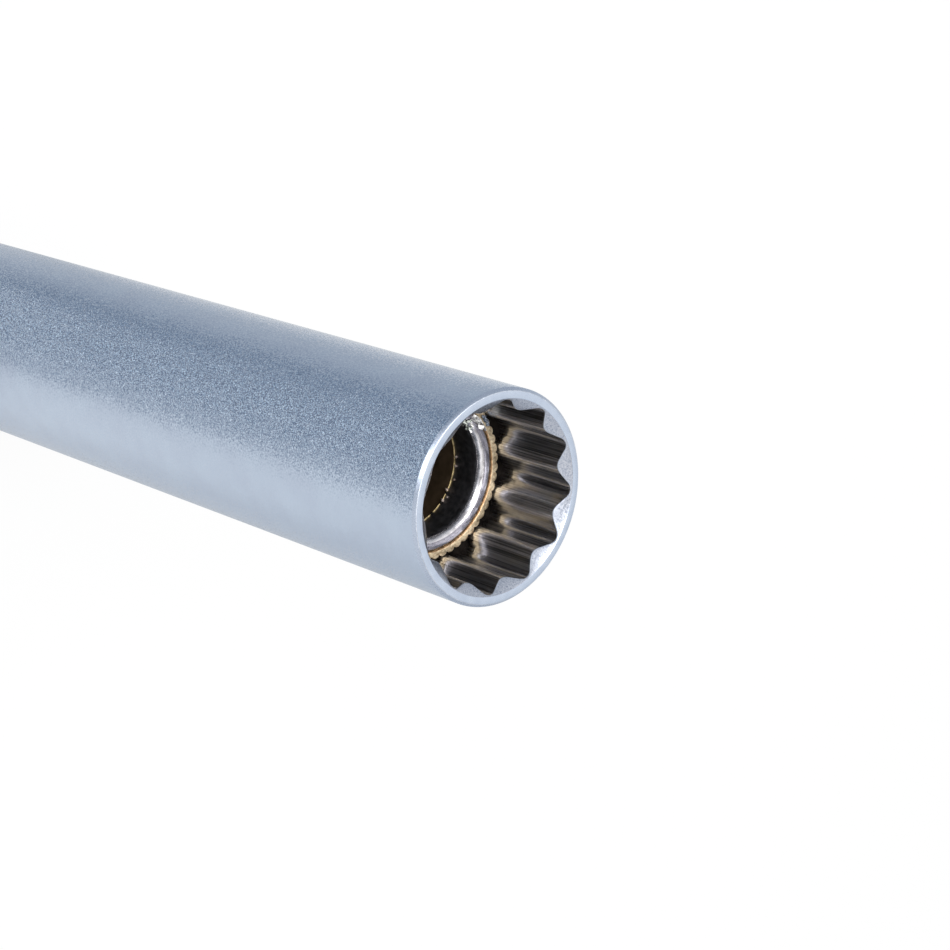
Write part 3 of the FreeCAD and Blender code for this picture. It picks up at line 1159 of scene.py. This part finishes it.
@dataclass
class IronChips:
    """Chips of iron that cling to the front and the bore of the magnet, and crumbs on the floor's lip."""

    magnet: RingMagnet
    unevenness: float = 0.16
    seed: int = 5
    lift_share: float = 0.35
    chips: tuple[Chip, ...] = (
        Chip(168.3, 6.19, 0.85, 0.46, 0.30, 8.0, 6.0, 22.0, ChipTone.BRIGHT),
        Chip(160.1, 6.47, 1.25, 0.11, 0.16, -7.0, 0.0, 10.0, ChipTone.BRIGHT),
        Chip(159.9, 6.18, 0.50, 0.34, 0.22, 35.0, 4.0, 24.0, ChipTone.BRIGHT),
        Chip(173.9, 5.44, 0.42, 0.24, 0.25, 20.0, 10.0, 20.0, ChipTone.GREENISH),
        Chip(169.5, 5.40, 0.34, 0.22, 0.20, -35.0, -10.0, 5.0, ChipTone.GREENISH),
        Chip(172.5, 5.68, 0.46, 0.20, 0.22, 50.0, 15.0, 25.0, ChipTone.GREENISH),
        Chip(164.9, 5.43, 0.36, 0.20, 0.24, 70.0, 20.0, 12.0, ChipTone.GREENISH),
        Chip(161.2, 5.39, 0.30, 0.18, 0.18, -15.0, -10.0, 24.0, ChipTone.BRIGHT),
        Chip(167.0, 5.65, 0.34, 0.18, 0.22, 5.0, 8.0, 26.0, ChipTone.BRIGHT),
        Chip(164.3, 5.29, 0.28, 0.16, 0.18, 40.0, 10.0, 18.0, ChipTone.GREENISH),
        Chip(171.9, 5.29, 0.32, 0.18, 0.20, -60.0, 15.0, 10.0, ChipTone.GREENISH),
        Chip(160.8, 6.90, 0.55, 0.34, 0.16, 10.0, 10.0, 15.0, ChipTone.BLUISH),
        Chip(157.4, 6.92, 0.42, 0.28, 0.14, -20.0, -8.0, 12.0, ChipTone.BLUISH),
        Chip(164.0, 6.92, 0.40, 0.26, 0.16, 30.0, 12.0, 12.0, ChipTone.BLUISH),
        Chip(91.6, 5.16, 0.24, 0.20, 0.12, 0.0, 0.0, 0.0, ChipTone.DARK),
        Chip(80.6, 5.16, 0.26, 0.20, 0.12, 0.0, 0.0, 0.0, ChipTone.DARK),
        Chip(66.4, 5.16, 0.30, 0.20, 0.12, 0.0, 0.0, 0.0, ChipTone.DARK),
        Chip(94.5, 5.00, 0.22, 0.20, 0.14, 20.0, 0.0, 10.0, ChipTone.GOLDEN),
        Chip(83.2, 5.13, 0.24, 0.20, 0.16, 10.0, 0.0, 10.0, ChipTone.GOLDEN),
        Chip(88.0, 5.20, 0.16, 0.14, 0.12, -10.0, 0.0, 10.0, ChipTone.GOLDEN, 0.25),
        Chip(118.6, 5.18, 0.18, 0.16, 0.14, 0.0, 0.0, 10.0, ChipTone.GOLDEN, 0.10),
        Chip(105.6, 5.20, 0.14, 0.12, 0.12, 15.0, 0.0, 10.0, ChipTone.GOLDEN, 0.22),
        Chip(127.4, 5.18, 0.16, 0.14, 0.12, -5.0, 0.0, 10.0, ChipTone.GOLDEN, 0.10),
    )

    def ground(self, radius: float) -> float:
        """Height of the magnet, the cup's face or the floor's lip under a chip.

        Args:
            radius: Distance from the axis.

        Returns:
            That height.
        """
        if radius > self.magnet.outer:
            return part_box("magnet_cup")[1].z
        if radius < self.magnet.bore:
            return self.magnet.back
        side = max(self.magnet.bore + self.magnet.bore_edge - radius, 0.0)
        drop = self.magnet.bore_edge - math.sqrt(self.magnet.bore_edge ** 2 - side ** 2)
        return self.magnet.front - drop

    def _one(self, number: int, chip: Chip) -> Piece:
        """Models one chip: a small block with uneven corners, laid on the magnet.

        Args:
            number: Its number, which makes its corners differ from the other chips'.
            chip: Its place, sizes and finish.

        Returns:
            The finished chip.
        """
        leave_edit_mode()
        bpy.ops.mesh.primitive_cube_add(size=1)
        piece = bpy.context.object
        piece.scale = [size * MM for size in (chip.length, chip.width, chip.thickness)]
        bpy.ops.object.transform_apply(scale=True)
        bpy.ops.object.mode_set(mode="EDIT")
        bpy.ops.mesh.subdivide(number_cuts=1)
        bpy.ops.transform.vertex_random(offset=self.unevenness * chip.width * MM, seed=self.seed + number)
        leave_edit_mode()
        work_on(piece)
        piece.data.materials.append(self.finishes[chip.tone])
        around = math.radians(chip.angle)
        radius = chip.radius * MM
        turn = around + math.pi / 2 + math.radians(chip.turn)
        piece.rotation_euler = (math.radians(chip.lean), math.radians(chip.pitch), turn)
        lift = (self.lift_share * chip.thickness + chip.rise) * MM
        piece.location = (radius * math.cos(around), radius * math.sin(around), self.ground(radius) + lift)
        bpy.ops.object.transform_apply(location=True, rotation=True)
        return piece

    def build(self) -> Piece:
        """Models the chips and joins them.

        Returns:
            The finished piece.
        """
        self.finishes = {tone: tone.value.material() for tone in ChipTone}
        pieces = [self._one(number, chip) for number, chip in enumerate(self.chips)]
        work_on(pieces[0])
        for piece in pieces[1:]:
            piece.select_set(True)
        bpy.ops.object.join()
        piece = bpy.context.object
        rename(piece, "iron_chips")
        edit_all(piece)
        bpy.ops.mesh.normals_make_consistent(inside=False)
        leave_edit_mode()
        return piece

    def dress(self, piece: Piece) -> None:
        """Hands the chips over; each has its finish already."""
        hand_over(piece, None)


def frame_radius(mount: str) -> float:
    """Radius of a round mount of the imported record."""
    found = next(each for each in frame["record"]["mounts"] if each["name"] == mount)
    return found["dims"]["r_mm"] * MM


@dataclass(frozen=True)
class PhotoCamera:
    """Camera at the photo's place and viewing angle. The picture is square."""

    azimuth: float = math.radians(12.63)
    elevation: float = math.radians(45.38)
    roll: float = math.radians(107.74)
    distance: float = 198.297 * MM
    mouth_right: float = 1.9925 * MM
    mouth_down: float = 1.9000 * MM
    lens: float = 92.96
    clip: Pair = (0.01, 20.0)

    def axes(self) -> tuple[Vector, Vector, Vector]:
        """Directions to the picture's right, to its top and back to the camera."""
        flat = math.cos(self.elevation)
        back = Vector((math.sin(self.azimuth) * flat, -math.cos(self.azimuth) * flat,
                       math.sin(self.elevation)))
        level = Vector((math.cos(self.azimuth), math.sin(self.azimuth), 0))
        upright = back.cross(level)
        right = level * math.cos(self.roll) + upright * math.sin(self.roll)
        return right, back.cross(right), back

    def build(self, mouth: Vector) -> None:
        """Adds the camera.

        Args:
            mouth: Middle of the socket's mouth.
        """
        right, up, back = self.axes()
        data = bpy.data.cameras.new("photo_camera")
        data.lens = self.lens
        data.clip_start, data.clip_end = self.clip
        camera = bpy.data.objects.new("photo_camera", data)
        bpy.context.scene.collection.objects.link(camera)
        place = mouth - right * self.mouth_right + up * self.mouth_down + back * self.distance
        camera.matrix_world = Matrix.Translation(place) @ Matrix((right, up, back)).transposed().to_4x4()
        bpy.context.scene.camera = camera


@dataclass(frozen=True)
class Softbox:
    """Square lamp that looks at the mouth."""

    name: str
    azimuth: float
    elevation: float
    distance: float
    size: float
    brightness: float

    def build(self, target: Vector) -> None:
        """Adds the lamp.

        Args:
            target: Point that it looks at.
        """
        data = bpy.data.lights.new(self.name, "AREA")
        data.shape = "SQUARE"
        data.size = self.size
        data.energy = self.brightness * math.pi * self.size ** 2
        lamp = bpy.data.objects.new(self.name, data)
        bpy.context.scene.collection.objects.link(lamp)
        away = way(self.azimuth, self.elevation)
        lamp.location = target + away * self.distance
        lamp.rotation_mode = "QUATERNION"
        lamp.rotation_quaternion = away.to_track_quat("Z", "Y")


@dataclass(frozen=True)
class Shade:
    """Round dim patch of the surroundings: where it is, how wide it is and how bright it stays."""

    azimuth: float
    elevation: float
    inner: float
    outer: float
    level: float


@dataclass(frozen=True)
class Studio:
    """Pale floor, white surroundings and soft lamps.

    The surroundings are white. Metal sees the studio's dim side below the mouth, in front of the
    socket, as a fan of greys about its foot, with narrow bright strips in its darkest part.
    """

    floor_size: float = 6.0
    floor_colour: Triple = (0.9, 0.9, 0.9)
    floor_roughness: float = 0.8
    lit_share: float = 0.12
    world_diffuse: float = 0.8
    dim: Triple = (0.40, 0.45, 0.515)
    fan_turn: float = 154.54
    fan: tuple[Pair, ...] = (
        (-101, 0.50), (-89, 0.70), (-77, 0.67), (-65, 0.62), (-53, 0.44), (-41, 0.29), (-17, 0.28), (6, 0.06),
        (91, 0.0), (103, 0.6), (115, 0.88), (127, 0.98), (150, 0.95), (163, 0.86), (175, 0.72), (190, 0.60),
        (210, 0.50), (228, 0.42),
    )
    strips: tuple[float, ...] = (37, 60, 82)
    strip_half: float = 4.5
    strip_white: float = 2.3
    gap_white: float = -0.35
    foot: Pair = (13.0 * MM, 26.0 * MM)
    foot_white: float = 0.4
    shades: tuple[Shade, ...] = (
        Shade(34.0, 65.0, 13.0, 21.0, 0.5),
        Shade(-66.0, 62.0, 8.0, 17.0, 0.35),
    )
    white_from: Pair = (0.55, 0.8)
    lamps: tuple[Softbox, ...] = (
        Softbox("front_softbox", -88.0, 41.0, 0.8, 0.28, 4.0),
        Softbox("upper_softbox", -125.0, 74.0, 0.8, 0.42, 5.0),
    )

    def build(self, mouth: Vector) -> None:
        """Adds the floor, the world and the lamps.

        Args:
            mouth: Middle of the socket's mouth.
        """
        leave_edit_mode()
        bpy.ops.mesh.primitive_plane_add(size=self.floor_size, location=(0, 0, 0))
        floor = bpy.context.object
        floor.name = "pale_floor"
        floor.data.materials.append(self._floor_material())
        floor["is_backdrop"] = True
        self._light_world()
        for lamp in self.lamps:
            lamp.build(mouth)
        bpy.context.scene.view_settings.view_transform = "Standard"

    def _floor_material(self) -> Material:
        """White floor that keeps shadows, and shows metal the dim side of the studio."""
        recipe = Recipe("floor_paint", metallic=0.0)
        recipe.settle({
            "Base Color": (*self.floor_colour, 1), "Roughness": self.floor_roughness,
            "Specular IOR Level": 0.0,
        })
        camera, metal = recipe.rays()
        at_foot = (*Vector(self.dim).lerp(WHITE, self.foot_white), 1)
        away = recipe.spread(recipe.vectors("LENGTH", recipe.place), 0.0, 1.0, *self.foot)
        glow = recipe.joined("ShaderNodeEmission", (recipe.blend(away, at_foot, self._fan(recipe)),))
        white = recipe.joined("ShaderNodeEmission", ((*WHITE, 1),))
        share = recipe.maths("MULTIPLY", camera, 1 - self.lit_share)
        seen = recipe.joined("ShaderNodeMixShader", (share, recipe.shader.outputs["BSDF"], white))
        shown = recipe.joined("ShaderNodeMixShader", (metal, seen, glow))
        recipe.link(shown, recipe.tree.nodes["Material Output"].inputs["Surface"])
        return recipe.material

    def _fan(self, recipe: Recipe) -> Socket:
        """Colours round the socket, by the angle about its axis.

        Args:
            recipe: Node tree to add them to.

        Returns:
            The colour.
        """
        share = recipe.spread(recipe.angle(), 0.0, 1.0, -math.pi, math.pi)
        stops = dict(self.fan)
        for middle in self.strips:
            stops[middle] = self.strip_white
            stops[middle - self.strip_half] = stops[middle + self.strip_half] = self.gap_white
        stops = {(angle - self.fan_turn + DEGREES / 2) % DEGREES / DEGREES: stops[angle] for angle in stops}
        greys = [(place, tuple(Vector(self.dim).lerp(WHITE, stops[place]))) for place in sorted(stops)]
        return recipe.ramp(share, *greys)

    def _light_world(self) -> None:
        """World that is white to the camera and a plain light to the floor.

        Metal sees it white overhead, dim round the horizon as the floor is, and dimmer in the shades.
        """
        world = bpy.data.worlds.new("white_surroundings")
        world.use_nodes = True
        recipe = Recipe.on(world.node_tree)
        rise = recipe.spread(recipe.along("Z"), 0.0, 1.0, *self.white_from)
        above = recipe.blend(rise, self._fan(recipe), (*WHITE, 1))
        shade = 1.0
        for dark in self.shades:
            toward = recipe.vectors("DOT_PRODUCT", recipe.place, way(dark.azimuth, dark.elevation))
            edge = [math.cos(math.radians(spread)) for spread in (dark.outer, dark.inner)]
            shade = recipe.maths("MULTIPLY", recipe.spread(toward, 1.0, dark.level, *edge), shade)
        camera, metal = recipe.rays()
        plain = recipe.spread(camera, self.world_diffuse, 1.0, 0.0, 1.0)
        background = recipe.tree.nodes["Background"]
        recipe.link(recipe.blend(metal, (*WHITE, 1), above), background.inputs["Color"])
        recipe.link(recipe.blend(metal, plain, shade, "FLOAT"), background.inputs["Strength"])
        bpy.context.scene.world = world


def main() -> None:
    """Builds the socket's pieces in order, then the studio and the camera."""
    logging.basicConfig(level=logging.INFO, format="%(name)s: %(message)s")
    cad_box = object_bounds()
    mouth = Vector((0, 0, cad_box[1].z))
    magnet = RingMagnet()
    for part in (SocketSleeve(), MagnetCup(), magnet, IronChips(magnet)):
        part.dress(part.build())
    Studio().build(mouth)
    PhotoCamera().build(mouth)


if __name__ == "__main__":
    main()
